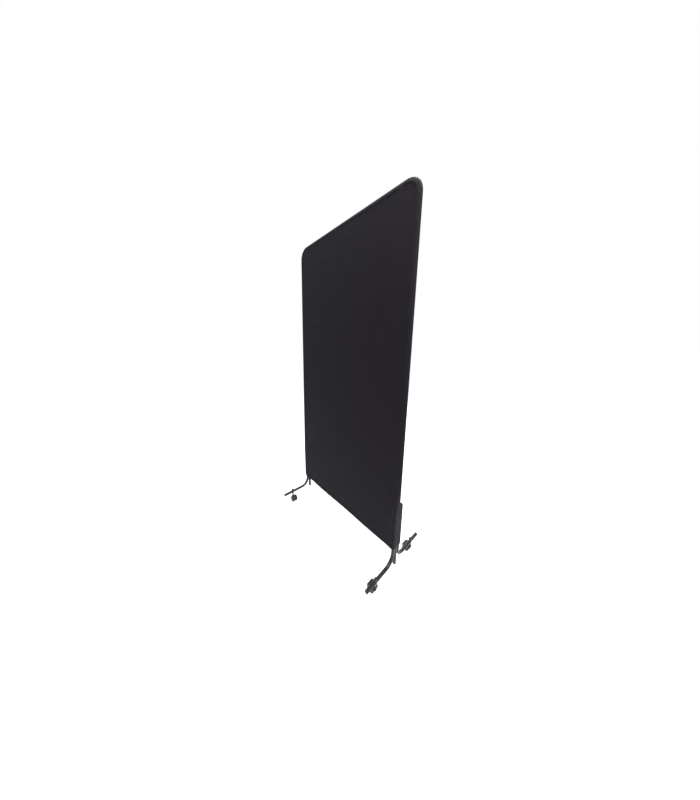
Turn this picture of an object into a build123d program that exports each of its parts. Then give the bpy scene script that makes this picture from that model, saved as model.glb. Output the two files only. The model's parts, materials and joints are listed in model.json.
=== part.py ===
"""Welding curtain screen: a fabric sleeve over a tube hoop, on J-bent legs with swivel casters.

Frame of reference: X runs along the screen, Y through it, Z up. The origin is on the floor, under
the middle of the screen. All sizes are millimetres.
"""

import os

from build123d import *

# ---- driving dimensions -------------------------------------------------------------------------
SCREEN_WIDTH = 900.0  # over the fabric, along X
SCREEN_HEIGHT = 1950.0  # floor to the top of the fabric
STANCE_DEPTH = 494.0  # over the end caps of the legs, along Y
CURTAIN_BOTTOM = 175.0  # height of the lower edge of the fabric

TUBE_R = 9.525  # three-quarter-inch steel tube
TUBE_WALL = 1.5
CORNER_BEND_R = 60.0  # centre-line radius of the two top corners
UPRIGHT_FOOT_Z = 53.0  # lower cut of the uprights

LEG_Z = 77.0  # centre line of the level part of a leg
LEG_TOP_Z = 420.0  # upper cut of the vertical part
LEG_BEND_R = 60.0
LEG_SADDLE = 3.0  # steel between an upright and the leg beside it
LEG_BOLT_HEIGHTS = (225.0, 385.0)
LEG_BOLT_R = 3.0
LEG_HOLE_R = 3.2

RAIL_Z = 187.0  # centre line of the rail inside the hem
RAIL_PEG_LENGTH = 30.0
JOINER_LENGTH = 160.0  # spigot inside the top tube
JOINER_SCREW_X = 45.0
SCREW_R = 2.0
SCREW_LENGTH = 6.0
SCREW_HEAD_R = 3.6
SCREW_HEAD_T = 2.6

FABRIC_T = 1.2
FABRIC_GAP = 0.475  # between a tube and the fabric around it
POCKET_REACH = 39.4  # from the upright's axis to the fabric over a leg, along Y
POCKET_SHOULDER_Z = 427.0  # where the pocket over the leg tops starts to narrow
POCKET_TOP_Z = 450.0
HEM_HEIGHT = 30.0

CAP_T = 2.0  # flange of a plastic cap
CAP_EDGE_R = 1.2
PLUG_LENGTH = 12.0

CASTER_Y = 172.0  # stem axis, from the middle of the stance
WHEEL_R = 21.0
TRAIL = 20.0  # stem axis to axle
WHEEL_INNER_Y = 7.8  # faces of each wheel, from the middle of its caster
WHEEL_OUTER_Y = 19.0
TREAD_T = 3.5
AXLE_R = 2.5
STEM_R = 4.0  # threaded part
PIVOT_R = 3.2  # smooth part inside the housing
HOUSING_TOP_Z = 50.0
RUNNING_GAP = 0.04
THREAD_GAP = 0.02
HOLE_GAP = 0.1  # round a stem or screw that passes through a hole
CLEAR = 20.0  # how far a cutting tool reaches past what it cuts

# ---- worked-out places --------------------------------------------------------------------------
SLEEVE_R = TUBE_R + FABRIC_GAP + FABRIC_T
UPRIGHT_X = SCREEN_WIDTH / 2 - SLEEVE_R
TOP_Z = SCREEN_HEIGHT - SLEEVE_R
LEG_Y = 2 * TUBE_R + LEG_SADDLE
LEG_TUBE_END = STANCE_DEPTH / 2 - CAP_T
BORE_R = TUBE_R - TUBE_WALL
PLUG_R = BORE_R - 0.025
PANEL_Y = SLEEVE_R - FABRIC_T  # inner face of a curtain panel
POCKET_INNER_X = UPRIGHT_X - SLEEVE_R
SIDES = {"right": 1, "left": -1}
ENDS = {"front": -1, "rear": 1}


# ---- shared shapes ------------------------------------------------------------------------------
def swept_tube(path):
    """A round steel tube whose centre line is path."""
    start = Plane(origin=path @ 0, z_dir=path % 0)
    return sweep(start * (Circle(TUBE_R) - Circle(BORE_R)), path=path)


def rod(radius, low, high, axis=Axis.Z):
    """A round bar from low to high along an axis through the origin."""
    bar = Pos(0, 0, (low + high) / 2) * Cylinder(radius, high - low)
    if axis == Axis.X:
        return Rot(0, 90, 0) * bar
    if axis == Axis.Y:
        return Rot(-90, 0, 0) * bar
    return bar


def ring(outer, inner, low, high, axis=Axis.Z):
    """A round sleeve, such as a washer."""
    return rod(outer, low, high, axis) - rod(inner, low - 1, high + 1, axis)


def hexagon(across_flats, low, high, bore=0.0):
    """A hexagonal nut or bolt head along Z, with its corners turned off at the top."""
    across_corners = across_flats / 0.866
    body = extrude(Pos(0, 0, low) * RegularPolygon(across_flats / 2, 6, major_radius=False), high - low)
    cone_low = Pos(0, 0, low) * Circle(across_corners / 2 + high - low)
    cone_high = Pos(0, 0, high) * Circle(across_flats / 2)
    body = body & loft([cone_low, cone_high])
    return body - rod(bore, low - 1, high + 1) if bore else body


def cap(outward_axis):
    """A moulded tube cap at the origin: a domed flange outside and a plug inside the tube."""
    flange = rod(TUBE_R, 0, CAP_T)
    flange = fillet(flange.edges().group_by(Axis.Z)[-1], CAP_EDGE_R)
    body = flange + rod(PLUG_R, -PLUG_LENGTH, 0)
    if outward_axis == "up":
        return body
    if outward_axis == "down":
        return Rot(180, 0, 0) * body
    return Rot(90 if outward_axis == "front" else -90, 0, 0) * body


def all_places(function):
    """One solid for each combination of side and end."""
    return [function(side, end) for side in SIDES.values() for end in ENDS.values()]


# ---- tube frame ---------------------------------------------------------------------------------
def hoop_half():
    """The right half of the hoop: upright, bent corner and half of the top tube."""
    path = FilletPolyline(
        (UPRIGHT_X, 0, UPRIGHT_FOOT_Z), (UPRIGHT_X, 0, TOP_Z), (0, 0, TOP_Z), radius=CORNER_BEND_R
    )
    half = swept_tube(path)
    for height in LEG_BOLT_HEIGHTS:
        half -= Pos(UPRIGHT_X, 0, height) * rod(LEG_HOLE_R, -CLEAR, CLEAR, Axis.Y)
    return half - Pos(JOINER_SCREW_X, 0, TOP_Z) * rod(SCREW_R + HOLE_GAP, -CLEAR, 0)


def hoop_joiner():
    """The spigot that joins the two halves of the hoop in the middle of the top tube."""
    half_length = JOINER_LENGTH / 2
    body = ring(PLUG_R, PLUG_R - TUBE_WALL, -half_length, half_length, Axis.X)
    for x in (-JOINER_SCREW_X, JOINER_SCREW_X):
        body -= Pos(x, 0, 0) * rod(SCREW_R + THREAD_GAP, -CLEAR, 0)
    return Pos(0, 0, TOP_Z) * body


def joiner_screw(side):
    """A pan-head screw that enters the top tube from beneath."""
    head = rod(SCREW_HEAD_R, -TUBE_R - SCREW_HEAD_T, -TUBE_R)
    head = fillet(head.edges().group_by(Axis.Z)[0], SCREW_HEAD_T / 2)
    shank = rod(SCREW_R, -TUBE_R, -TUBE_R + SCREW_LENGTH)
    return Pos(side * JOINER_SCREW_X, 0, TOP_Z) * (head + shank)


def bottom_rail():
    """The rail inside the hem, with its ends coped to sit against the uprights."""
    body = ring(TUBE_R, BORE_R, -UPRIGHT_X, UPRIGHT_X, Axis.X)
    for side in SIDES.values():
        body -= Pos(side * UPRIGHT_X, 0, 0) * rod(TUBE_R + THREAD_GAP, -CLEAR, CLEAR)
    return Pos(0, 0, RAIL_Z) * body


def rail_peg(side):
    """The peg welded to an upright, which the end of the rail slips over."""
    low, high = sorted((side * UPRIGHT_X, side * (UPRIGHT_X - TUBE_R - RAIL_PEG_LENGTH)))
    body = rod(PLUG_R - HOLE_GAP, low, high, Axis.X)
    body -= Pos(side * UPRIGHT_X, 0, 0) * rod(TUBE_R, -CLEAR, CLEAR)
    return Pos(0, 0, RAIL_Z) * body


def leg(side, end):
    """A J-bent leg: a vertical part bolted beside the upright, a bend, and a level part."""
    x = side * UPRIGHT_X
    path = FilletPolyline(
        (x, end * LEG_Y, LEG_TOP_Z), (x, end * LEG_Y, LEG_Z), (x, end * LEG_TUBE_END, LEG_Z),
        radius=LEG_BEND_R,
    )
    body = swept_tube(path)
    for height in LEG_BOLT_HEIGHTS:
        body -= Pos(x, end * LEG_Y, height) * rod(LEG_HOLE_R, -CLEAR, CLEAR, Axis.Y)
    return body - Pos(x, end * CASTER_Y, LEG_Z) * rod(STEM_R + HOLE_GAP, -CLEAR, CLEAR)


def leg_top_cap(side, end):
    return Pos(side * UPRIGHT_X, end * LEG_Y, LEG_TOP_Z) * cap("up")


def leg_end_cap(side, end):
    return Pos(side * UPRIGHT_X, end * LEG_TUBE_END, LEG_Z) * cap("front" if end < 0 else "rear")


def upright_plug(side):
    return Pos(side * UPRIGHT_X, 0, UPRIGHT_FOOT_Z) * cap("down")


# ---- leg fasteners ------------------------------------------------------------------------------
WASHER_T = 1.0
WASHER_R = 6.0
BOLT_HEAD_T = 3.6
BOLT_FLATS = 10.0
SADDLE_WIDTH = 15.0
SADDLE_HEIGHT = 20.0
BOLT_FACE_Y = LEG_Y + TUBE_R + WASHER_T  # where a bolt head or nut bears


def at_leg_bolts(function):
    """One solid for each of the bolts through the uprights."""
    places = [(side * UPRIGHT_X, height) for side in SIDES.values() for height in LEG_BOLT_HEIGHTS]
    return [Pos(x, 0, height) * function() for x, height in places]


def leg_bolt():
    head = Rot(90, 0, 0) * hexagon(BOLT_FLATS, BOLT_FACE_Y, BOLT_FACE_Y + BOLT_HEAD_T)
    return head + rod(LEG_BOLT_R, -BOLT_FACE_Y, BOLT_FACE_Y + BOLT_HEAD_T, Axis.Y)


def leg_nut():
    bore = LEG_BOLT_R + THREAD_GAP
    return Rot(-90, 0, 0) * hexagon(BOLT_FLATS, BOLT_FACE_Y, BOLT_FACE_Y + BOLT_HEAD_T, bore=bore)


def leg_washer(end):
    low, high = sorted((end * (BOLT_FACE_Y - WASHER_T), end * BOLT_FACE_Y))
    return ring(WASHER_R, LEG_HOLE_R, low, high, Axis.Y)


def leg_saddle(end):
    """The double-hollowed steel block between an upright and a leg."""
    body = Pos(0, end * LEG_Y / 2, 0) * Box(SADDLE_WIDTH, LEG_Y - TUBE_R / 2, SADDLE_HEIGHT)
    for y in (0, end * LEG_Y):
        body -= Pos(0, y, 0) * rod(TUBE_R + THREAD_GAP, -CLEAR, CLEAR)
    return body - rod(LEG_HOLE_R, -LEG_Y, LEG_Y, Axis.Y)


# ---- fabric sleeve ------------------------------------------------------------------------------
def curtain_panel(end):
    """One flat layer of the curtain, with the lower corners cut back to the leg pockets."""
    height = TOP_Z - CURTAIN_BOTTOM
    body = Box(2 * UPRIGHT_X, FABRIC_T, height, align=(Align.CENTER, Align.CENTER, Align.MIN))
    body = fillet(body.edges().filter_by(Axis.Y).group_by(Axis.Z)[-1], CORNER_BEND_R)
    notch_height = POCKET_TOP_Z - CURTAIN_BOTTOM
    for side in SIDES.values():
        notch = Box(SLEEVE_R, 2 * FABRIC_T, notch_height)
        body -= Pos(side * (UPRIGHT_X - SLEEVE_R / 2), 0, notch_height / 2) * notch
    return Pos(0, end * (PANEL_Y + FABRIC_T / 2), CURTAIN_BOTTOM) * body


def curtain_hem(end):
    """The doubled lower edge of a panel."""
    y = end * (SLEEVE_R + FABRIC_T / 2)
    return Pos(0, y, CURTAIN_BOTTOM + HEM_HEIGHT / 2) * Box(2 * POCKET_INNER_X, FABRIC_T, HEM_HEIGHT)


def curtain_edge_band():
    """The strip sewn between the panels, round the outside of the hoop."""
    path = FilletPolyline(
        (UPRIGHT_X, 0, POCKET_TOP_Z), (UPRIGHT_X, 0, TOP_Z),
        (-UPRIGHT_X, 0, TOP_Z), (-UPRIGHT_X, 0, POCKET_TOP_Z),
        radius=CORNER_BEND_R,
    )
    half_disc = Circle(SLEEVE_R) & Pos(SLEEVE_R / 2, 0) * Rectangle(SLEEVE_R, 2 * SLEEVE_R)
    section = Plane(origin=path @ 0, x_dir=(1, 0, 0), z_dir=(0, 0, 1)) * (half_disc - Circle(PANEL_Y))
    return sweep(section, path=path)


def pocket_block(offset):
    """The space inside a leg pocket, grown by offset: a long slot that narrows over the leg tops."""
    width = 2 * (PANEL_Y + offset)
    long_slot = SlotCenterToCenter(2 * (POCKET_REACH - SLEEVE_R), width, rotation=90)
    short_slot = SlotCenterToCenter(FABRIC_T, width, rotation=90)
    straight = extrude(Pos(0, 0, CURTAIN_BOTTOM) * long_slot, POCKET_SHOULDER_Z - CURTAIN_BOTTOM)
    shoulder = loft([Pos(0, 0, POCKET_SHOULDER_Z) * long_slot, Pos(0, 0, POCKET_TOP_Z) * short_slot])
    return straight + shoulder


def leg_pocket(side):
    """The part of the sleeve that wraps an upright and its two legs, with a hole for the rail."""
    body = pocket_block(FABRIC_T) - pocket_block(0)
    low, high = sorted((0, -side * 2 * SLEEVE_R))
    body -= Pos(0, 0, RAIL_Z) * rod(TUBE_R + FABRIC_GAP, low, high, Axis.X)
    return Pos(side * UPRIGHT_X, 0, 0) * body


# ---- casters ------------------------------------------------------------------------------------
# Each caster is drawn with its stem on the Z axis and its wheels trailing towards -X.
STEM_FOOT_Z = 25.5
STEM_CHAMFER = 0.8
GROOVE_LOW, GROOVE_HIGH = 31.0, 32.2  # groove in the stem for the spring ring
GROOVE_DEPTH = 0.8
RING_WIDTH = 1.1  # how far the ring stands out of the stem
SOCKET_DEPTH_GAP = 0.5  # below the foot of the stem
COLLAR_LOW, COLLAR_HIGH = HOUSING_TOP_Z + 0.3, HOUSING_TOP_Z + 4.0  # hexagon forged on the stem
COLLAR_FLATS = 11.0
SOCKET_R = 7.3
WEB_HALF = 6.4  # half thickness of the web between the wheels
HOOD_HALF = 19.8
HOOD_GAP = 1.4
HOOD_T = 2.4
HOOD_EDGE_R = 1.0
SOCKET_EDGE_R = 1.2
HUB_R = 7.5
AXLE_HALF = 15.6
RIM_T = 2.5
WHEEL_WALL = 4.0  # outer wall of a wheel, with a shallow dish in its face
DISH_DEPTH = 1.2
TREAD_EDGE_R = 1.6
CASTER_WASHER_R = 9.0
CASTER_WASHER_T = 1.5
JAM_NUT_FLATS = 13.0
JAM_NUT_T = 5.0
CAP_NUT_FLATS = 15.0
CAP_NUT_HEX_T = 7.0
CAP_NUT_HEIGHT = 13.0
DOME_R = 6.6
TUBE_UNDERSIDE = LEG_Z - TUBE_R
TUBE_CREST = LEG_Z + TUBE_R
CAP_NUT_LOW = TUBE_CREST + CASTER_WASHER_T


def place_caster(solid, side, end):
    """Moves a caster piece to its leg, with the wheels trailing towards the middle of the screen."""
    return Pos(side * UPRIGHT_X, end * CASTER_Y, 0) * Rot(0, 0, 0 if side > 0 else 180) * solid


def caster_stem():
    body = rod(PIVOT_R, STEM_FOOT_Z, COLLAR_LOW) + hexagon(COLLAR_FLATS, COLLAR_LOW, COLLAR_HIGH)
    body += rod(STEM_R, COLLAR_HIGH, CAP_NUT_LOW + CAP_NUT_HEX_T)
    body = chamfer(body.edges().group_by(Axis.Z)[-1], STEM_CHAMFER)
    return body - ring(PIVOT_R + 1, PIVOT_R - GROOVE_DEPTH, GROOVE_LOW, GROOVE_HIGH)


def caster_ring(side, end):
    """The spring ring that keeps a housing on its stem."""
    inner = PIVOT_R - GROOVE_DEPTH + RUNNING_GAP
    body = ring(PIVOT_R + RING_WIDTH, inner, GROOVE_LOW + RUNNING_GAP, GROOVE_HIGH - RUNNING_GAP)
    return place_caster(body, side, end)


def caster_housing():
    """The moulded body of a caster: stem socket, centre web and hood."""
    hood_inner = WHEEL_R + HOOD_GAP
    hood = ring(hood_inner + HOOD_T, hood_inner, -HOOD_HALF, HOOD_HALF, Axis.Y)
    hood = hood & Pos(0, 0, WHEEL_R) * Box(3 * WHEEL_R, 3 * HOOD_HALF, 1.4 * WHEEL_R)
    hood = fillet(hood.edges().filter_by(GeomType.CIRCLE).group_by(SortBy.RADIUS)[-1], HOOD_EDGE_R)
    rib = rod(hood_inner + 0.5, -WEB_HALF, WEB_HALF, Axis.Y)
    rib = rib & Pos(0, 0, 0.8 * WHEEL_R) * Box(3 * WHEEL_R, 3 * WEB_HALF, 1.9 * WHEEL_R)
    hub = rod(HUB_R, -WEB_HALF, WEB_HALF, Axis.Y)
    wheel_part = Pos(-TRAIL, 0, WHEEL_R) * (hood + rib + hub)
    socket = rod(SOCKET_R, STEM_FOOT_Z - 5 * SOCKET_DEPTH_GAP, HOUSING_TOP_Z)
    socket = fillet(socket.edges().group_by(Axis.Z)[-1], SOCKET_EDGE_R)
    body = wheel_part + socket
    body -= rod(PIVOT_R + RUNNING_GAP, STEM_FOOT_Z - SOCKET_DEPTH_GAP, HOUSING_TOP_Z + 1)
    body -= rod(PIVOT_R + RING_WIDTH + 0.4, GROOVE_LOW - 1, GROOVE_HIGH + 1)
    return body - Pos(-TRAIL, 0, WHEEL_R) * rod(AXLE_R + THREAD_GAP, -CLEAR, CLEAR, Axis.Y)


def caster_axle():
    return Pos(-TRAIL, 0, WHEEL_R) * rod(AXLE_R, -AXLE_HALF, AXLE_HALF, Axis.Y)


def wheel_core(end):
    """A nylon wheel centre, hollowed on its inner face, with a blind hole for the axle."""
    rim_r = WHEEL_R - TREAD_T
    body = rod(rim_r, WHEEL_INNER_Y, WHEEL_OUTER_Y, Axis.Y)
    body -= ring(rim_r - RIM_T, HUB_R - 1.5, WHEEL_INNER_Y - 1, WHEEL_OUTER_Y - WHEEL_WALL, Axis.Y)
    body -= ring(rim_r - RIM_T, HUB_R - 2.5, WHEEL_OUTER_Y - DISH_DEPTH, WHEEL_OUTER_Y + 1, Axis.Y)
    body -= rod(AXLE_R + RUNNING_GAP, WHEEL_INNER_Y - 1, AXLE_HALF + 10 * RUNNING_GAP, Axis.Y)
    return Pos(-TRAIL, 0, WHEEL_R) * (body if end > 0 else mirror(body, about=Plane.XZ))


def wheel_tread(end):
    """The soft grey tyre on a wheel."""
    body = ring(WHEEL_R, WHEEL_R - TREAD_T, WHEEL_INNER_Y, WHEEL_OUTER_Y, Axis.Y)
    body = fillet(body.edges().filter_by(GeomType.CIRCLE).group_by(SortBy.RADIUS)[-1], TREAD_EDGE_R)
    return Pos(-TRAIL, 0, WHEEL_R) * (body if end > 0 else mirror(body, about=Plane.XZ))


def caster_cap_nut(side, end):
    """The black domed nut that holds a caster stem from above."""
    dome = rod(DOME_R, CAP_NUT_LOW, CAP_NUT_LOW + CAP_NUT_HEIGHT)
    dome = fillet(dome.edges().group_by(Axis.Z)[-1], 0.75 * DOME_R)
    body = dome + hexagon(CAP_NUT_FLATS, CAP_NUT_LOW, CAP_NUT_LOW + CAP_NUT_HEX_T)
    body -= rod(STEM_R + THREAD_GAP, CAP_NUT_LOW - 1, CAP_NUT_LOW + CAP_NUT_HEX_T + THREAD_GAP)
    return place_caster(body, side, end)


def caster_jam_nut(side, end):
    high = TUBE_UNDERSIDE - CASTER_WASHER_T
    nut = hexagon(JAM_NUT_FLATS, high - JAM_NUT_T, high, bore=STEM_R + THREAD_GAP)
    return place_caster(nut, side, end)


def caster_washers(side, end):
    under = ring(CASTER_WASHER_R, STEM_R + HOLE_GAP, TUBE_UNDERSIDE - CASTER_WASHER_T, TUBE_UNDERSIDE)
    over = ring(CASTER_WASHER_R, STEM_R + HOLE_GAP, TUBE_CREST, CAP_NUT_LOW)
    return [place_caster(under, side, end), place_caster(over, side, end)]


# ---- the whole screen ---------------------------------------------------------------------------
def flat_list(groups):
    return [solid for group in groups for solid in group]


right_half = hoop_half()
nodes = {
    "hoop_right": right_half,
    "hoop_left": mirror(right_half, about=Plane.YZ),
    "hoop_joiner": hoop_joiner(),
    "hoop_joiner_screws": [joiner_screw(side) for side in SIDES.values()],
    "bottom_rail": bottom_rail(),
    "rail_pegs": [rail_peg(side) for side in SIDES.values()],
    "upright_plugs": [upright_plug(side) for side in SIDES.values()],
    "leg_top_caps": all_places(leg_top_cap),
    "leg_end_caps": all_places(leg_end_cap),
    "leg_bolts": at_leg_bolts(leg_bolt),
    "leg_nuts": at_leg_bolts(leg_nut),
    "leg_washers": flat_list(at_leg_bolts(lambda: leg_washer(end)) for end in ENDS.values()),
    "leg_saddles": flat_list(at_leg_bolts(lambda: leg_saddle(end)) for end in ENDS.values()),
    "curtain_front": curtain_panel(ENDS["front"]),
    "curtain_rear": curtain_panel(ENDS["rear"]),
    "curtain_hem_front": curtain_hem(ENDS["front"]),
    "curtain_hem_rear": curtain_hem(ENDS["rear"]),
    "curtain_edge_band": curtain_edge_band(),
    "caster_cap_nuts": all_places(caster_cap_nut),
    "caster_jam_nuts": all_places(caster_jam_nut),
    "caster_washers": flat_list(all_places(caster_washers)),
    "caster_rings": all_places(caster_ring),
}
for side_name, side in SIDES.items():
    nodes[f"leg_pocket_{side_name}"] = leg_pocket(side)
    for end_name, end in ENDS.items():
        corner = f"{end_name}_{side_name}"
        nodes[f"leg_{corner}"] = leg(side, end)
        caster_pieces = {
            "stem": caster_stem(),
            "housing": caster_housing(),
            "axle": caster_axle(),
            "core_a": wheel_core(1),
            "core_b": wheel_core(-1),
            "tread_a": wheel_tread(1),
            "tread_b": wheel_tread(-1),
        }
        for piece, solid in caster_pieces.items():
            nodes[f"caster_{corner}_{piece}"] = place_caster(solid, side, end)

os.makedirs("parts", exist_ok=True)
for name, shape in nodes.items():
    export_step(Compound(shape) if isinstance(shape, list) else shape, f"parts/{name}.step")
print(len(nodes), "nodes written")
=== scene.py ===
"""Looks of the welding curtain screen: every material, the fabric sleeve with its seams, and the studio."""

import json
import math

import bpy
import numpy as np
from mathutils import Matrix, Vector


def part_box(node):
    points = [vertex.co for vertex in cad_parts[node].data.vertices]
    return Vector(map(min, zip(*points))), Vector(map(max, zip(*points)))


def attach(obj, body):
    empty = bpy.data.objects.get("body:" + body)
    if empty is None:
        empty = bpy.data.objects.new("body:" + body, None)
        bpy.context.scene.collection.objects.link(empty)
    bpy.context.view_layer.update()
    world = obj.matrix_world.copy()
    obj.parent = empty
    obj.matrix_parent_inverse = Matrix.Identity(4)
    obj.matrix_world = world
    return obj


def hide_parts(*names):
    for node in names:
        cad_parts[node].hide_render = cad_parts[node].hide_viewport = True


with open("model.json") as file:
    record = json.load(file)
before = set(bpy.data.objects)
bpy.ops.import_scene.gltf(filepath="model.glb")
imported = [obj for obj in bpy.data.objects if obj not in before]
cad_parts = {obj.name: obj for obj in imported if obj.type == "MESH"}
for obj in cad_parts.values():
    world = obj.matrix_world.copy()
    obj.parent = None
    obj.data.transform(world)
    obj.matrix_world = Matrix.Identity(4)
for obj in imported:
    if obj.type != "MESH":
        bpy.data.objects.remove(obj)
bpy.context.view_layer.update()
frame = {"nodes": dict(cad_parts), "record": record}

# ---- sizes worked out from the frame, in metres --------------------------------------------------
band_low, band_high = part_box("curtain_edge_band")
panel_low, panel_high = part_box("curtain_front")
_, pocket_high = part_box("leg_pocket_right")

SLEEVE_R = (band_high.y - band_low.y) / 2  # outside of the fabric round a tube
UPRIGHT_X = panel_high.x
TOP_Z = panel_high.z
BOTTOM_Z = panel_low.z
POCKET_TOP_Z = pocket_high.z
POCKET_SHOULDER_Z = POCKET_TOP_Z - 0.023
LEG_EXTRA = pocket_high.y - SLEEVE_R  # how much further the fabric reaches over a leg

# ---- sizes of the cloth, its seams and its stitches, in metres -----------------------------------
CORNER_R = 0.060
FABRIC_T = 0.0009
HEM_HEIGHT = 0.030
HEM_T = 0.0009
TAPE_WIDTH = 0.011
TAPE_T = 0.0007
STRIP_LIFT = 0.00015  # gap between the sleeve and a hem or tape laid on it
STITCH_STEP = 0.0046
STITCH_LENGTH = 0.0034
STITCH_R = 0.00035
HEM_ROW_INSETS = (0.005, 0.004)  # rows of stitches from the hem's lower and upper edge
SEAM_ROW_INSET = 0.0022  # rows of stitches from both edges of a seam tape
HEM_STITCH_LIFT = 0.0011
SEAM_STITCH_LIFT = 0.0009

# ---- how finely the sleeve is divided ------------------------------------------------------------
COLUMNS = 96
FINE_STEP, COARSE_STEP = 0.006, 0.010
FINE_TOP_Z = 0.70
CORNER_ROWS = 15
BAND_STEPS = 18
QUARTER_STEPS = 9
HEM_POINTS = 181
TINY = 1e-6

ends = ("front", "rear")
signs = {"front": -1, "rear": 1}


# ---- materials -----------------------------------------------------------------------------------
NOISE_SPAN = (0.3, 0.7)  # where nearly all of a noise texture's values lie


class Shader:
    """A node material under construction: one Principled shader and short names for what feeds it."""

    def __init__(self, name, colour, roughness, **sockets):
        self.material = bpy.data.materials.new(name)
        self.material.use_nodes = True
        self.nodes = self.material.node_tree.nodes
        self.links = self.material.node_tree.links
        self.shader = self.nodes["Principled BSDF"]
        self.shader.inputs["Base Color"].default_value = (*colour, 1)
        self.shader.inputs["Roughness"].default_value = roughness
        for socket, value in sockets.items():
            self.shader.inputs[socket.replace("_", " ")].default_value = value
        self.place = self.nodes.new("ShaderNodeTexCoord").outputs["Object"]
        self.normal = None

    def scaled(self, scale):
        """Object coordinates stretched by scale, one number for each axis."""
        mapping = self.nodes.new("ShaderNodeMapping")
        mapping.inputs["Scale"].default_value = scale
        self.links.new(self.place, mapping.inputs["Vector"])
        return mapping.outputs["Vector"]

    def noise(self, scale, detail, roughness=0.55, place=None):
        node = self.nodes.new("ShaderNodeTexNoise")
        node.inputs["Scale"].default_value = scale
        node.inputs["Detail"].default_value = detail
        node.inputs["Roughness"].default_value = roughness
        self.links.new(place or self.place, node.inputs["Vector"])
        return node.outputs["Fac"]

    def wave(self, direction, wavelength, distortion):
        """Bands square to direction, wavelength metres apart."""
        node = self.nodes.new("ShaderNodeTexWave")
        node.bands_direction = direction
        node.inputs["Scale"].default_value = math.pi / (10 * wavelength)
        node.inputs["Distortion"].default_value = distortion
        node.inputs["Detail Scale"].default_value = 1.5
        self.links.new(self.place, node.inputs["Vector"])
        return node.outputs["Fac"]

    def combine(self, operation, a, b):
        """The result of a Math node on two sockets."""
        node = self.nodes.new("ShaderNodeMath")
        node.operation = operation
        self.links.new(a, node.inputs[0])
        self.links.new(b, node.inputs[1])
        return node.outputs[0]

    def remap(self, value, source, target):
        """Value moved from the range source to the range target, and held inside it."""
        node = self.nodes.new("ShaderNodeMapRange")
        for number, limit in enumerate((*source, *target), start=1):
            node.inputs[number].default_value = limit
        self.links.new(value, node.inputs["Value"])
        return node.outputs["Result"]

    def blend_colour(self, factor, first, second):
        """From first to second as factor goes from 0 to 1; each is a colour or a socket."""
        node = self.nodes.new("ShaderNodeMix")
        node.data_type = "RGBA"
        self.links.new(factor, node.inputs["Factor"])
        for value, socket in ((first, node.inputs["A"]), (second, node.inputs["B"])):
            if isinstance(value, tuple):
                socket.default_value = (*value, 1)
            else:
                self.links.new(value, socket)
        return node.outputs["Result"]

    def feed(self, socket, value):
        self.links.new(value, self.shader.inputs[socket])

    def bump(self, height, strength, distance):
        """Adds relief on top of any bump given before."""
        node = self.nodes.new("ShaderNodeBump")
        node.inputs["Strength"].default_value = strength
        node.inputs["Distance"].default_value = distance
        self.links.new(height, node.inputs["Height"])
        if self.normal is not None:
            self.links.new(self.normal, node.inputs["Normal"])
        self.normal = node.outputs["Normal"]
        self.links.new(self.normal, self.shader.inputs["Normal"])


def fabric_material(name, dark, light):
    """Plain-woven flame-retardant cloth: threads over and under with painted shade in the gaps between
    them, slubs, cloudy dye and a faint sheen.
    """
    thread_pitch = 0.0011
    thread_wander = 3.0
    # painted shade: a darker colour for the hollows between the threads
    gap_shade_colour = tuple(c * 0.6 for c in dark)
    made = Shader(
        name, dark, 0.80, Sheen_Weight=0.04, Sheen_Roughness=0.45, Specular_IOR_Level=0.13
    )
    made.shader.inputs["Sheen Tint"].default_value = (0.75, 0.78, 0.9, 1)
    warp = made.wave("X", thread_pitch, thread_wander)
    weft = made.wave("Z", thread_pitch, thread_wander)
    side_warp = made.wave("Y", thread_pitch, thread_wander)
    weave = made.combine("MULTIPLY", made.combine("MAXIMUM", warp, side_warp), weft)
    slubs = made.noise(scale=1.0, detail=4.0, roughness=0.6, place=made.scaled((60, 60, 420)))
    cloudy = made.noise(scale=3.2, detail=5.0, roughness=0.6)
    cloud_tone = made.remap(cloudy, NOISE_SPAN, (0.0, 0.55))
    slub_tone = made.remap(slubs, (0.35, 0.75), (0.0, 0.35))
    base = made.blend_colour(made.combine("ADD", cloud_tone, slub_tone), dark, light)
    # painted shade: the colour goes darker where the weave leaves a gap between threads
    painted_gap_shade = made.remap(weave, (0.0, 0.5), (0.34, 0.0))
    made.feed("Base Color", made.blend_colour(painted_gap_shade, base, gap_shade_colour))
    made.feed("Roughness", made.remap(cloudy, NOISE_SPAN, (0.66, 0.84)))
    made.bump(weave, strength=0.45, distance=0.0005)
    made.bump(slubs, strength=0.30, distance=0.0007)
    made.bump(made.noise(scale=28, detail=4.0), strength=0.16, distance=0.004)
    return made.material


def paint_material():
    """Satin powder coat: fine orange peel, cloudy tone and a few rubbed places."""
    darker, lighter, rubbed = (0.011, 0.013, 0.012), (0.026, 0.028, 0.027), (0.060, 0.063, 0.062)
    made = Shader("powder_coat", (0.018, 0.020, 0.019), 0.30, Specular_IOR_Level=0.38)
    patches = made.noise(scale=9.0, detail=5.0, roughness=0.62)
    fine = made.noise(scale=900, detail=2.0)
    scuffs = made.noise(scale=1.0, detail=6.0, roughness=0.7, place=made.scaled((55, 55, 18)))
    worn = made.remap(scuffs, (0.66, 0.72), (0.0, 0.6))
    coat = made.blend_colour(made.remap(patches, NOISE_SPAN, (0, 1)), darker, lighter)
    made.feed("Base Color", made.blend_colour(worn, coat, rubbed))
    made.feed("Roughness", made.remap(patches, NOISE_SPAN, (0.26, 0.38)))
    made.bump(fine, strength=0.10, distance=0.0006)
    made.bump(scuffs, strength=0.05, distance=0.0005)
    return made.material


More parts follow.
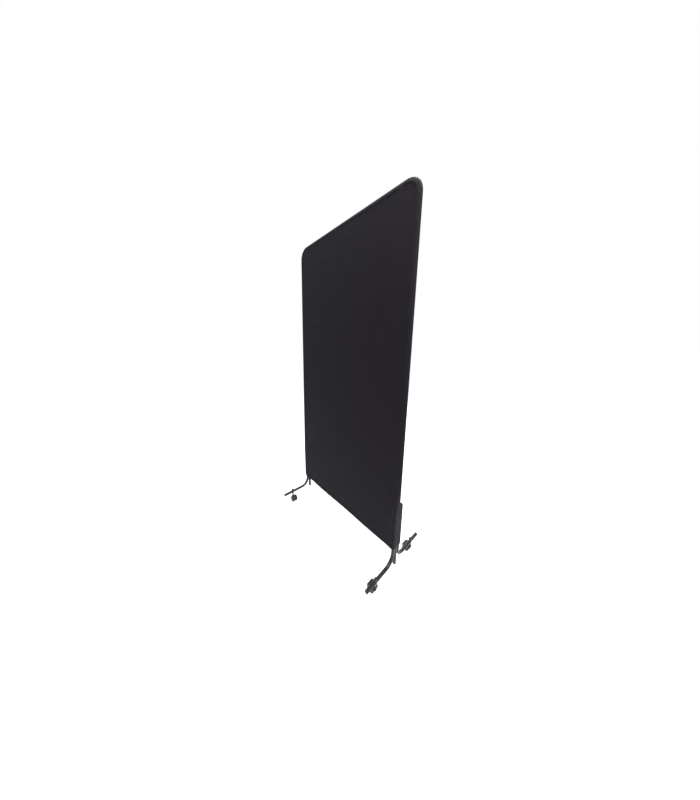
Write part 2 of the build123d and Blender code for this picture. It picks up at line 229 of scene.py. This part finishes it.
def metal_material(name, colour, roughness, mottle):
    """Plated or bare steel: mottled brightness with fine grain."""
    made = Shader(name, colour, roughness, Metallic=1.0)
    spots = made.noise(scale=240, detail=5.0, roughness=0.6)
    darker = tuple(c * (1 - mottle) for c in colour)
    made.feed("Base Color", made.blend_colour(made.remap(spots, NOISE_SPAN, (0, 1)), darker, colour))
    made.feed("Roughness", made.remap(spots, NOISE_SPAN, (roughness * 0.8, roughness * 1.3)))
    made.bump(made.noise(scale=1400, detail=2.0), strength=0.12, distance=0.0003)
    return made.material


def plastic_material(name, colour, roughness, texture, dust=0.35):
    """Moulded plastic: fine spark-eroded texture and grey dust in patches."""
    made = Shader(name, colour, roughness, Specular_IOR_Level=0.45)
    grain = made.noise(scale=texture, detail=2.0)
    patches = made.noise(scale=38, detail=5.0, roughness=0.65)
    dusty = tuple(min(1, c * 1.6 + 0.03) for c in colour)
    made.feed("Base Color", made.blend_colour(made.remap(patches, (0.4, 0.75), (0, dust)), colour, dusty))
    made.feed("Roughness", made.remap(patches, NOISE_SPAN, (roughness * 0.85, roughness * 1.2)))
    made.bump(grain, strength=0.16, distance=0.0004)
    return made.material


def tread_material():
    """Soft grey tyre with rolling marks and floor dust."""
    darker, lighter, dusty = (0.070, 0.070, 0.073), (0.125, 0.125, 0.128), (0.21, 0.205, 0.20)
    made = Shader("soft_tread", (0.10, 0.10, 0.104), 0.62)
    marks = made.noise(scale=1.0, detail=5.0, roughness=0.7, place=made.scaled((420, 90, 420)))
    dust = made.noise(scale=55, detail=6.0, roughness=0.7)
    base = made.blend_colour(made.remap(marks, (0.35, 0.7), (0, 1)), darker, lighter)
    made.feed("Base Color", made.blend_colour(made.remap(dust, (0.5, 0.8), (0, 0.5)), base, dusty))
    made.bump(marks, strength=0.25, distance=0.0005)
    return made.material


def thread_material():
    """Matt sewing thread with its twist as a fine relief."""
    made = Shader("sewing_thread", (0.014, 0.0135, 0.016), 0.6, Sheen_Weight=0.1)
    made.bump(made.noise(scale=2600, detail=2.0), strength=0.4, distance=0.0002)
    return made.material


materials = {
    "frame_paint": paint_material(),
    "bare_steel": metal_material("mild_steel", (0.42, 0.41, 0.40), 0.42, 0.35),
    "spring_steel": metal_material("spring_steel", (0.16, 0.16, 0.17), 0.35, 0.3),
    "zinc": metal_material("zinc_plate", (0.34, 0.345, 0.35), 0.34, 0.22),
    "cap_plastic": plastic_material("polyethylene", (0.013, 0.013, 0.014), 0.48, 1500),
    "curtain_fabric": fabric_material(
        "curtain_cloth", dark=(0.0086, 0.0067, 0.0094), light=(0.0144, 0.0115, 0.0158)
    ),
    "hem_fabric": fabric_material(
        "hem_cloth", dark=(0.0080, 0.0062, 0.0087), light=(0.0135, 0.0107, 0.0147)
    ),
    "caster_plastic": plastic_material("housing_nylon", (0.010, 0.010, 0.011), 0.46, 1200),
    "wheel_nylon": plastic_material("wheel_nylon", (0.030, 0.030, 0.031), 0.42, 1300, dust=0.6),
    "wheel_tread": tread_material(),
}
sewing_thread = thread_material()

slot_of_node = {row["node"]: row["material_slot"] for row in frame["record"]["subparts"]}
for node_name, node in frame["nodes"].items():
    node.data.materials.clear()
    node.data.materials.append(materials[slot_of_node[node_name]])


# ---- the sleeve's shape --------------------------------------------------------------------------
SHOULDER_RISE = 0.11  # a soft shoulder starts this far above the pocket
SHOULDER_DROP = 0.17  # and is complete this much lower
STRAIGHT_OVERRUN = 0.02  # the tight line ends this far below the pocket's shoulder
MEMBRANE_ROUNDS = 1500
OVER_RELAXATION = 1.85
EDGE_SHARE = 0.10  # waves and folds fade out over this share of the half width
EDGE_HEIGHT = 0.10
SEEDS = {"front": 7, "rear": 19}
PUCKER_SEED = 5
WAVES = 7
WAVE_HEIGHT = 0.0017
CALM_TOP_Z = 1.6  # above this height the waves have half their size
CALM_RUN = 1.4  # and this much lower their full size
FOLD_HEIGHT = 0.0009
HEADING_SPREAD = 4  # degrees
BITE = 0.0004  # how far a fold may press the cloth in towards the tubes
PUCKER = 0.035
STRAIGHT_PUCKER_SHARE = 0.15


def ease(value):
    """0 below 0, 1 above 1 and a smooth change between."""
    t = np.clip(value, 0, 1)
    return t * t * (3 - 2 * t)


def leg_reach(side, end, z):
    """The share, 0 to 1, of LEG_EXTRA by which the legs push out the sleeve's edge at a height."""
    if (side, end) == ("right", "rear"):  # short shoulder, as the cloth drops off the leg top
        return ease((POCKET_TOP_Z - z) / (POCKET_TOP_Z - POCKET_SHOULDER_Z))
    if (side, end) == ("left", "front"):  # one tight line from the top corner to the leg
        run = TOP_Z - CORNER_R - POCKET_SHOULDER_Z + STRAIGHT_OVERRUN
        return np.clip((TOP_Z - CORNER_R - z) / run, 0, 1)
    return ease((POCKET_TOP_Z + SHOULDER_RISE - z) / SHOULDER_DROP)


def row_heights():
    """Heights of the grid's rows: close together up to above the legs and round the top corners."""
    fine = np.linspace(BOTTOM_Z, FINE_TOP_Z, int((FINE_TOP_Z - BOTTOM_Z) / FINE_STEP) + 1)
    corner_base = TOP_Z - CORNER_R
    plain = np.linspace(FINE_TOP_Z, corner_base, int((corner_base - FINE_TOP_Z) / COARSE_STEP) + 1)
    turn = corner_base + CORNER_R * np.sin(np.linspace(0, math.pi / 2, CORNER_ROWS))
    return np.concatenate([fine, plain[1:], turn[1:]])


rows = row_heights()
across = np.linspace(-1, 1, COLUMNS + 1)
rise = np.clip(rows - (TOP_Z - CORNER_R), 0, CORNER_R)
half_width = UPRIGHT_X - CORNER_R + np.sqrt(np.maximum(CORNER_R**2 - rise**2, 0))
grid_x = half_width[:, None] * across[None, :]
grid_z = np.repeat(rows[:, None], COLUMNS + 1, axis=1)


def membrane(field):
    """Fills the inside of field with a tight skin between its four edges, by over-relaxation."""
    gap = np.diff(rows)
    down, up = gap[:-1, None], gap[1:, None]
    step = 2 * UPRIGHT_X / COLUMNS
    w_down, w_up = 2 / (down * (down + up)), 2 / (up * (down + up))
    w_side = 1 / step**2
    total = w_down + w_up + 2 * w_side
    j, i = np.indices(field[1:-1, 1:-1].shape)
    inner = field[1:-1, 1:-1]
    for turn in range(MEMBRANE_ROUNDS):
        mean = (
            w_down * field[:-2, 1:-1] + w_up * field[2:, 1:-1]
            + w_side * (field[1:-1, :-2] + field[1:-1, 2:])
        ) / total
        chosen = (i + j) % 2 == turn % 2
        inner[chosen] += OVER_RELAXATION * (mean - inner)[chosen]


def held_depth(end):
    """Depth of a curtain layer as its four edges hold it: a tight skin with no waves or folds."""
    depth = np.full(grid_x.shape, SLEEVE_R)
    depth[:, -1] += LEG_EXTRA * leg_reach("right", end, rows)
    depth[:, 0] += LEG_EXTRA * leg_reach("left", end, rows)
    depth[0, :] = np.interp(across, (-1, 1), (depth[0, 0], depth[0, -1]))
    guess = np.linspace(depth[0, 0], depth[-1, 0], len(rows))[:, None]
    depth[1:-1, 1:-1] = guess[1:-1]
    membrane(depth)
    return depth


def swell(draw):
    """Long upright waves in the cloth between the uprights, in units of WAVE_HEIGHT."""
    total = np.zeros(grid_x.shape)
    for _ in range(WAVES):
        wave_x = draw.uniform(5, 15)
        wave_z = draw.uniform(-1.6, 1.6)
        phase = draw.uniform(0, 2 * math.pi)
        total += draw.uniform(0.3, 0.9) * np.sin(wave_x * grid_x + wave_z * grid_z + phase)
    return total


def fold(start, heading, length, width, height):
    """A tension fold: a ridge that starts at a point, runs along heading degrees and dies away."""
    direction = math.radians(heading)
    from_x, from_z = grid_x - start[0], grid_z - start[1]
    along = from_x * math.cos(direction) + from_z * math.sin(direction)
    aside = -from_x * math.sin(direction) + from_z * math.cos(direction)
    spread = width * (0.45 + 0.9 * np.clip(along / length, 0, 1))
    fade = ease(along / (0.18 * length)) * (1 - ease((along - 0.35 * length) / (0.65 * length)))
    return height * np.exp(-((aside / spread) ** 2)) * fade


def fold_heading(draw, side_sign, degrees):
    """A heading near degrees, which are for the right side; the left side's is its mirror image."""
    turned = degrees + draw.uniform(-HEADING_SPREAD, HEADING_SPREAD)
    return turned if side_sign > 0 else 180 - turned


def panel_depth(end):
    """Distance of one curtain layer from the middle plane, over the whole grid."""
    depth = held_depth(end)
    draw = np.random.default_rng(SEEDS[end])
    edge = ease((1 - np.abs(across)) / EDGE_SHARE)[None, :] * ease((TOP_Z - grid_z) / EDGE_HEIGHT)
    strength = 0.5 + 0.5 * ease((CALM_TOP_Z - grid_z) / CALM_RUN)
    depth += WAVE_HEIGHT * swell(draw) * edge * strength
    for side_sign in (1, -1):
        leg_top = (side_sign * (UPRIGHT_X - 0.012), POCKET_SHOULDER_Z)
        for number in range(4):  # folds that fan out from the top of a leg
            heading = fold_heading(draw, side_sign, 97 + 15 * number)
            height = draw.uniform(0.0006, 0.0013) * (1 if number % 2 == 0 else -0.7)
            length = draw.uniform(0.2, 0.4)
            depth += edge * fold(leg_top, heading, length, 0.02, height)
        corner = (side_sign * (UPRIGHT_X - 0.03), TOP_Z - 0.03)
        for number in range(4):  # folds drawn down and in from a top corner
            heading = fold_heading(draw, side_sign, 200 + 18 * number)
            length = draw.uniform(0.2, 0.4)
            depth += edge * fold(corner, heading, length, 0.016, FOLD_HEIGHT)
        foot = (side_sign * (UPRIGHT_X - 0.02), BOTTOM_Z + 0.02)
        for number in range(3):  # folds drawn up and in from an end of the hem
            heading = fold_heading(draw, side_sign, 172 - 17 * number)
            length = draw.uniform(0.2, 0.35)
            depth += edge * fold(foot, heading, length, 0.014, FOLD_HEIGHT)
    return np.maximum(depth, SLEEVE_R - BITE)


depths = {end: panel_depth(end) for end in ends}


def panel_point(end, x, z, lift):
    """Points on a curtain layer, lift metres outside it."""
    j = np.clip(np.searchsorted(rows, z) - 1, 0, len(rows) - 2)
    share = np.clip((z - rows[j]) / (rows[j + 1] - rows[j]), 0, 1)
    width = np.interp(z, rows, half_width)
    spot = np.clip((x / width + 1) / 2 * COLUMNS, 0, COLUMNS - TINY)
    i = np.floor(spot).astype(int)
    part = spot - i
    depth = depths[end]
    lower = depth[j, i] * (1 - part) + depth[j, i + 1] * part
    upper = depth[j + 1, i] * (1 - part) + depth[j + 1, i + 1] * part
    y = signs[end] * (lower * (1 - share) + upper * share + lift)
    return np.stack([x, y, z], axis=-1)


def edge_outline():
    """Points with their row and column: up the right edge, over the top and down the left."""
    count = len(rows)
    right = [((grid_x[j, -1], grid_z[j, -1]), j, COLUMNS) for j in range(count)]
    top = [((grid_x[-1, i], TOP_Z), count - 1, i) for i in range(COLUMNS - 1, 0, -1)]
    left = [((grid_x[j, 0], grid_z[j, 0]), j, 0) for j in range(count - 1, -1, -1)]
    return right + top + left


def outward(x, z):
    """The direction square to the hoop, in its plane."""
    if z >= TOP_Z - 1e-9:
        return (0.0, 1.0)
    centre_x = math.copysign(min(abs(x), UPRIGHT_X - CORNER_R), x)
    centre_z = min(z, TOP_Z - CORNER_R)
    return tuple(Vector((x - centre_x, z - centre_z)).normalized())


def slot_section(front_reach, rear_reach):
    """Half a long slot from the front tangent to the rear one: outward and Y offsets, evenly spaced."""
    quarter = np.linspace(0, math.pi / 2, QUARTER_STEPS)
    out = np.concatenate([np.sin(quarter), np.sin(quarter[::-1])]) * SLEEVE_R
    y = np.concatenate([
        -front_reach - np.cos(quarter) * SLEEVE_R,
        rear_reach + np.cos(quarter[::-1]) * SLEEVE_R,
    ])
    run = np.concatenate([[0], np.cumsum(np.hypot(np.diff(out), np.diff(y)))])
    even = np.linspace(0, run[-1], BAND_STEPS + 1)
    return np.interp(even, run, out), np.interp(even, run, y)


def new_mesh(name, verts, faces):
    mesh = bpy.data.meshes.new(name)
    mesh.from_pydata([tuple(map(float, v)) for v in verts], [], [[int(n) for n in f] for f in faces])
    return mesh


def sleeve_mesh():
    """The whole sleeve as one sheet: front layer, band round the hoop, rear layer."""
    verts, faces = [], []
    index = {}
    for end in ends:
        y = signs[end] * depths[end]
        index[end] = len(verts) + np.arange(grid_x.size).reshape(grid_x.shape)
        verts += list(zip(grid_x.ravel(), y.ravel(), grid_z.ravel()))
        for j in range(len(rows) - 1):
            for i in range(COLUMNS):
                lower, upper = index[end][j, i:i + 2], index[end][j + 1, i:i + 2]
                quad = [lower[0], lower[1], upper[1], upper[0]]
                faces.append(quad if end == "front" else quad[::-1])
    pucker = np.random.default_rng(PUCKER_SEED)
    previous = None
    for (x, z), j, i in edge_outline():
        out_x, out_z = outward(x, z)
        front_reach = depths["front"][j, i] - SLEEVE_R
        rear_reach = depths["rear"][j, i] - SLEEVE_R
        out, y = slot_section(front_reach, rear_reach)
        in_corner = z > TOP_Z - CORNER_R and abs(x) > UPRIGHT_X - CORNER_R
        bend = 1.0 if in_corner else STRAIGHT_PUCKER_SHARE
        out = out * (1 + PUCKER * bend * pucker.uniform(-1, 1))
        line = [int(index["front"][j, i])]
        for k in range(1, BAND_STEPS):
            line.append(len(verts))
            verts.append((x + out[k] * out_x, y[k], z + out[k] * out_z))
        line.append(int(index["rear"][j, i]))
        if previous:
            for k in range(BAND_STEPS):
                faces.append([previous[k], previous[k + 1], line[k + 1], line[k]])
        previous = line
    return new_mesh("curtain_sleeve", verts, faces)


def add_piece(name, mesh, material):
    piece = bpy.data.objects.new(name, mesh)
    bpy.context.scene.collection.objects.link(piece)
    mesh.materials.append(material)
    mesh.polygons.foreach_set("use_smooth", [True] * len(mesh.polygons))
    mesh.validate()
    mesh.update()
    return piece


def thicken(piece, thickness, offset):
    """Gives a sheet its thickness: inwards at an offset of -1, outwards at 1."""
    solid = piece.modifiers.new("thickness", "SOLIDIFY")
    solid.thickness = thickness
    solid.offset = offset


sleeve = add_piece("curtain_sleeve", sleeve_mesh(), materials["curtain_fabric"])
smoother = sleeve.modifiers.new("smooth", "SUBSURF")
smoother.levels = smoother.render_levels = 1
smoother.boundary_smooth = "PRESERVE_CORNERS"
thicken(sleeve, FABRIC_T, offset=-1.0)


# ---- hems, seam tapes and stitching --------------------------------------------------------------
def ribbon_mesh(name, end, inner_line, outer_line, steps):
    """A strip lying on a curtain layer between two lines of (x, z) points."""
    verts, faces = [], []
    for (xa, za), (xb, zb) in zip(inner_line, outer_line):
        for k in range(steps + 1):
            share = k / steps
            x, z = xa + (xb - xa) * share, za + (zb - za) * share
            verts.append(panel_point(end, np.float64(x), np.float64(z), STRIP_LIFT))
    for n in range(len(inner_line) - 1):
        for k in range(steps):
            a = n * (steps + 1) + k
            faces.append([a, a + 1, a + steps + 2, a + steps + 1])
    return new_mesh(name, verts, faces)


def inset_outline(inset):
    """The edge line of a curtain layer moved inwards by inset, from the right foot to the left foot."""
    line = []
    for (x, z), _, _ in edge_outline():
        out_x, out_z = outward(x, z)
        line.append((x - inset * out_x, z - inset * out_z))
    return line


def hem_line(height):
    """A level line across a curtain layer, height metres above its lower edge."""
    reach = UPRIGHT_X - 0.0005
    return [(x, BOTTOM_Z + height) for x in np.linspace(-reach, reach, HEM_POINTS)]


def add_strip(name, end, first_line, second_line, steps, thickness):
    """A hem or tape whose outer face looks away from the screen, whichever layer it lies on."""
    pair = (first_line, second_line) if end == "front" else (second_line, first_line)
    mesh = ribbon_mesh(name, end, *pair, steps)
    strip = add_piece(f"{name}_{end}", mesh, materials["hem_fabric"])
    thicken(strip, thickness, offset=1.0)
    return strip


hems, tapes = [], []
for end in ends:
    hem_edges = hem_line(0.0004), hem_line(HEM_HEIGHT)
    hems.append(add_strip("curtain_hem_fold", end, *hem_edges, steps=4, thickness=HEM_T))
    tape_edges = inset_outline(0.0002), inset_outline(TAPE_WIDTH)
    tapes.append(add_strip("curtain_seam_tape", end, *tape_edges, steps=3, thickness=TAPE_T))


def even_points(line, step):
    """Points and directions at equal steps along a line of (x, z) points."""
    points = np.array(line)
    run = np.concatenate([[0], np.cumsum(np.hypot(*np.diff(points, axis=0).T))])
    at = np.arange(step / 2, run[-1] - step / 2, step)
    x, z = np.interp(at, run, points[:, 0]), np.interp(at, run, points[:, 1])
    ahead_x = np.interp(at + 1e-3, run, points[:, 0]) - x
    ahead_z = np.interp(at + 1e-3, run, points[:, 1]) - z
    length = np.hypot(ahead_x, ahead_z)
    return x, z, ahead_x / length, ahead_z / length


def stitch_faces(first):
    """Triangles at both ends of a stitch and four quads between, for ten points from first on."""
    faces = []
    for k in range(4):
        a, b = first + 2 + k, first + 2 + (k + 1) % 4
        faces += [[first, b, a], [a, b, b + 4, a + 4], [first + 1, a + 4, b + 4]]
    return faces


def stitch_mesh():
    """Every visible stitch: a short spindle of thread pulled into the cloth at both ends."""
    verts, faces = [], []
    hem_rows = [hem_line(HEM_ROW_INSETS[0]), hem_line(HEM_HEIGHT - HEM_ROW_INSETS[1])]
    seam_rows = [inset_outline(SEAM_ROW_INSET), inset_outline(TAPE_WIDTH - SEAM_ROW_INSET)]
    stitched = [(line, HEM_STITCH_LIFT) for line in hem_rows]
    stitched += [(line, SEAM_STITCH_LIFT) for line in seam_rows]
    for end in ends:
        up = np.array([0, signs[end], 0]) * STITCH_R
        for line, lift in stitched:
            x, z, dx, dz = even_points(line, STITCH_STEP)
            centre = panel_point(end, x, z, lift)
            run = np.stack([dx, np.zeros_like(dx), dz], axis=-1)
            side = np.stack([-dz, np.zeros_like(dx), dx], axis=-1)
            for c, r, s in zip(centre, run, side):
                faces += stitch_faces(len(verts))
                half = r * STITCH_LENGTH / 2
                verts += [c - half - up, c + half - up]
                for share in (-0.45, 0.45):
                    middle = c + half * share
                    beside = s * STITCH_R
                    verts += [middle + beside, middle + up, middle - beside, middle - up]
    return new_mesh("curtain_stitching", verts, faces)


stitching = add_piece("curtain_stitching", stitch_mesh(), sewing_thread)

for piece in [sleeve, stitching, *hems, *tapes]:
    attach(piece, "root")
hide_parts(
    "curtain_front", "curtain_rear", "curtain_edge_band", "leg_pocket_right", "leg_pocket_left"
)
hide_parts("curtain_hem_front")
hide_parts("curtain_hem_rear")


# ---- stage, light and camera ---------------------------------------------------------------------
FLOOR_REACH = 60.0
FLOOR_GLOW = 0.64
ROOM_COLOUR = (0.93, 0.96, 1.0, 1)
ROOM_STRENGTH = 0.50
LAMP_AIM = Vector((0, 0, 0.7))
LAMPS = (  # name, place, size in metres, power in watts
    ("key", (2.3, -0.9, 2.6), 0.9, 70),
    ("top", (0.5, 0.0, 3.9), 1.4, 120),
    ("rear", (-1.0, 2.8, 2.2), 1.6, 45),
)


def camera_only(tree, other, plain):
    """Mixes two shaders: plain is what the camera sees, other is what lights the screen."""
    path = tree.nodes.new("ShaderNodeLightPath")
    mix = tree.nodes.new("ShaderNodeMixShader")
    tree.links.new(path.outputs["Is Camera Ray"], mix.inputs["Fac"])
    tree.links.new(other, mix.inputs[1])
    tree.links.new(plain, mix.inputs[2])
    return mix.outputs["Shader"]


def floor_material():
    """A pale floor that reads as white paper, yet lights the screen only by plain reflection."""
    made = Shader("pale_floor", (0.80, 0.80, 0.80), 0.85, Specular_IOR_Level=0.1)
    tree = made.material.node_tree
    glow = tree.nodes.new("ShaderNodeEmission")
    glow.inputs["Strength"].default_value = FLOOR_GLOW
    paper = tree.nodes.new("ShaderNodeAddShader")
    tree.links.new(made.shader.outputs["BSDF"], paper.inputs[0])
    tree.links.new(glow.outputs["Emission"], paper.inputs[1])
    seen = camera_only(tree, made.shader.outputs["BSDF"], paper.outputs["Shader"])
    tree.links.new(seen, tree.nodes["Material Output"].inputs["Surface"])
    return made.material


def add_floor():
    reach = FLOOR_REACH
    corners = [(-reach, -reach, 0), (reach, -reach, 0), (reach, reach, 0), (-reach, reach, 0)]
    floor_mesh = new_mesh("floor", corners, [[0, 1, 2, 3]])
    floor = bpy.data.objects.new("floor", floor_mesh)
    bpy.context.scene.collection.objects.link(floor)
    floor_mesh.materials.append(floor_material())


def add_world():
    """A dim bluish room for the light, and plain white where the camera looks past the screen."""
    world = bpy.data.worlds.new("studio")
    bpy.context.scene.world = world
    world.use_nodes = True
    tree = world.node_tree
    room = tree.nodes["Background"]
    room.inputs["Color"].default_value = ROOM_COLOUR
    room.inputs["Strength"].default_value = ROOM_STRENGTH
    paper = tree.nodes.new("ShaderNodeBackground")
    paper.inputs["Color"].default_value = (1, 1, 1, 1)
    paper.inputs["Strength"].default_value = 1.0
    seen = camera_only(tree, room.outputs["Background"], paper.outputs["Background"])
    tree.links.new(seen, tree.nodes["World Output"].inputs["Surface"])


def add_lamps():
    for name, place, size, power in LAMPS:
        light = bpy.data.lights.new(name, "AREA")
        light.size, light.energy = size, power
        lamp = bpy.data.objects.new(name, light)
        lamp.location = place
        lamp.rotation_euler = (LAMP_AIM - Vector(place)).to_track_quat("-Z", "Y").to_euler()
        bpy.context.scene.collection.objects.link(lamp)


def add_camera():
    """A very wide lens close to the screen, turned and tilted as a person holding it would."""
    turn, tilt, roll = math.radians(49.45), math.radians(11.60), math.radians(-0.13)
    forward = Vector((-math.sin(turn) * math.cos(tilt), math.cos(turn) * math.cos(tilt), -math.sin(tilt)))
    lens = bpy.data.cameras.new("camera")
    lens.lens, lens.sensor_width = 9.045, 36.0
    lens.shift_x, lens.shift_y = 0.0178, -0.0161
    lens.clip_start = 0.02
    view = bpy.data.objects.new("camera", lens)
    level = forward.to_track_quat("-Z", "Y").to_matrix()
    facing = (level @ Matrix.Rotation(roll, 3, "Z")).to_4x4()
    view.matrix_world = Matrix.Translation((0.931, -0.863, 1.281)) @ facing
    bpy.context.scene.collection.objects.link(view)
    bpy.context.scene.camera = view


add_floor()
add_world()
add_lamps()
add_camera()
bpy.context.scene.view_settings.view_transform = "Standard"

SMOOTH_ANGLE = math.radians(35)
for node in frame["nodes"].values():
    bpy.context.view_layer.objects.active = node
    node.select_set(True)
bpy.ops.object.shade_smooth_by_angle(angle=SMOOTH_ANGLE)
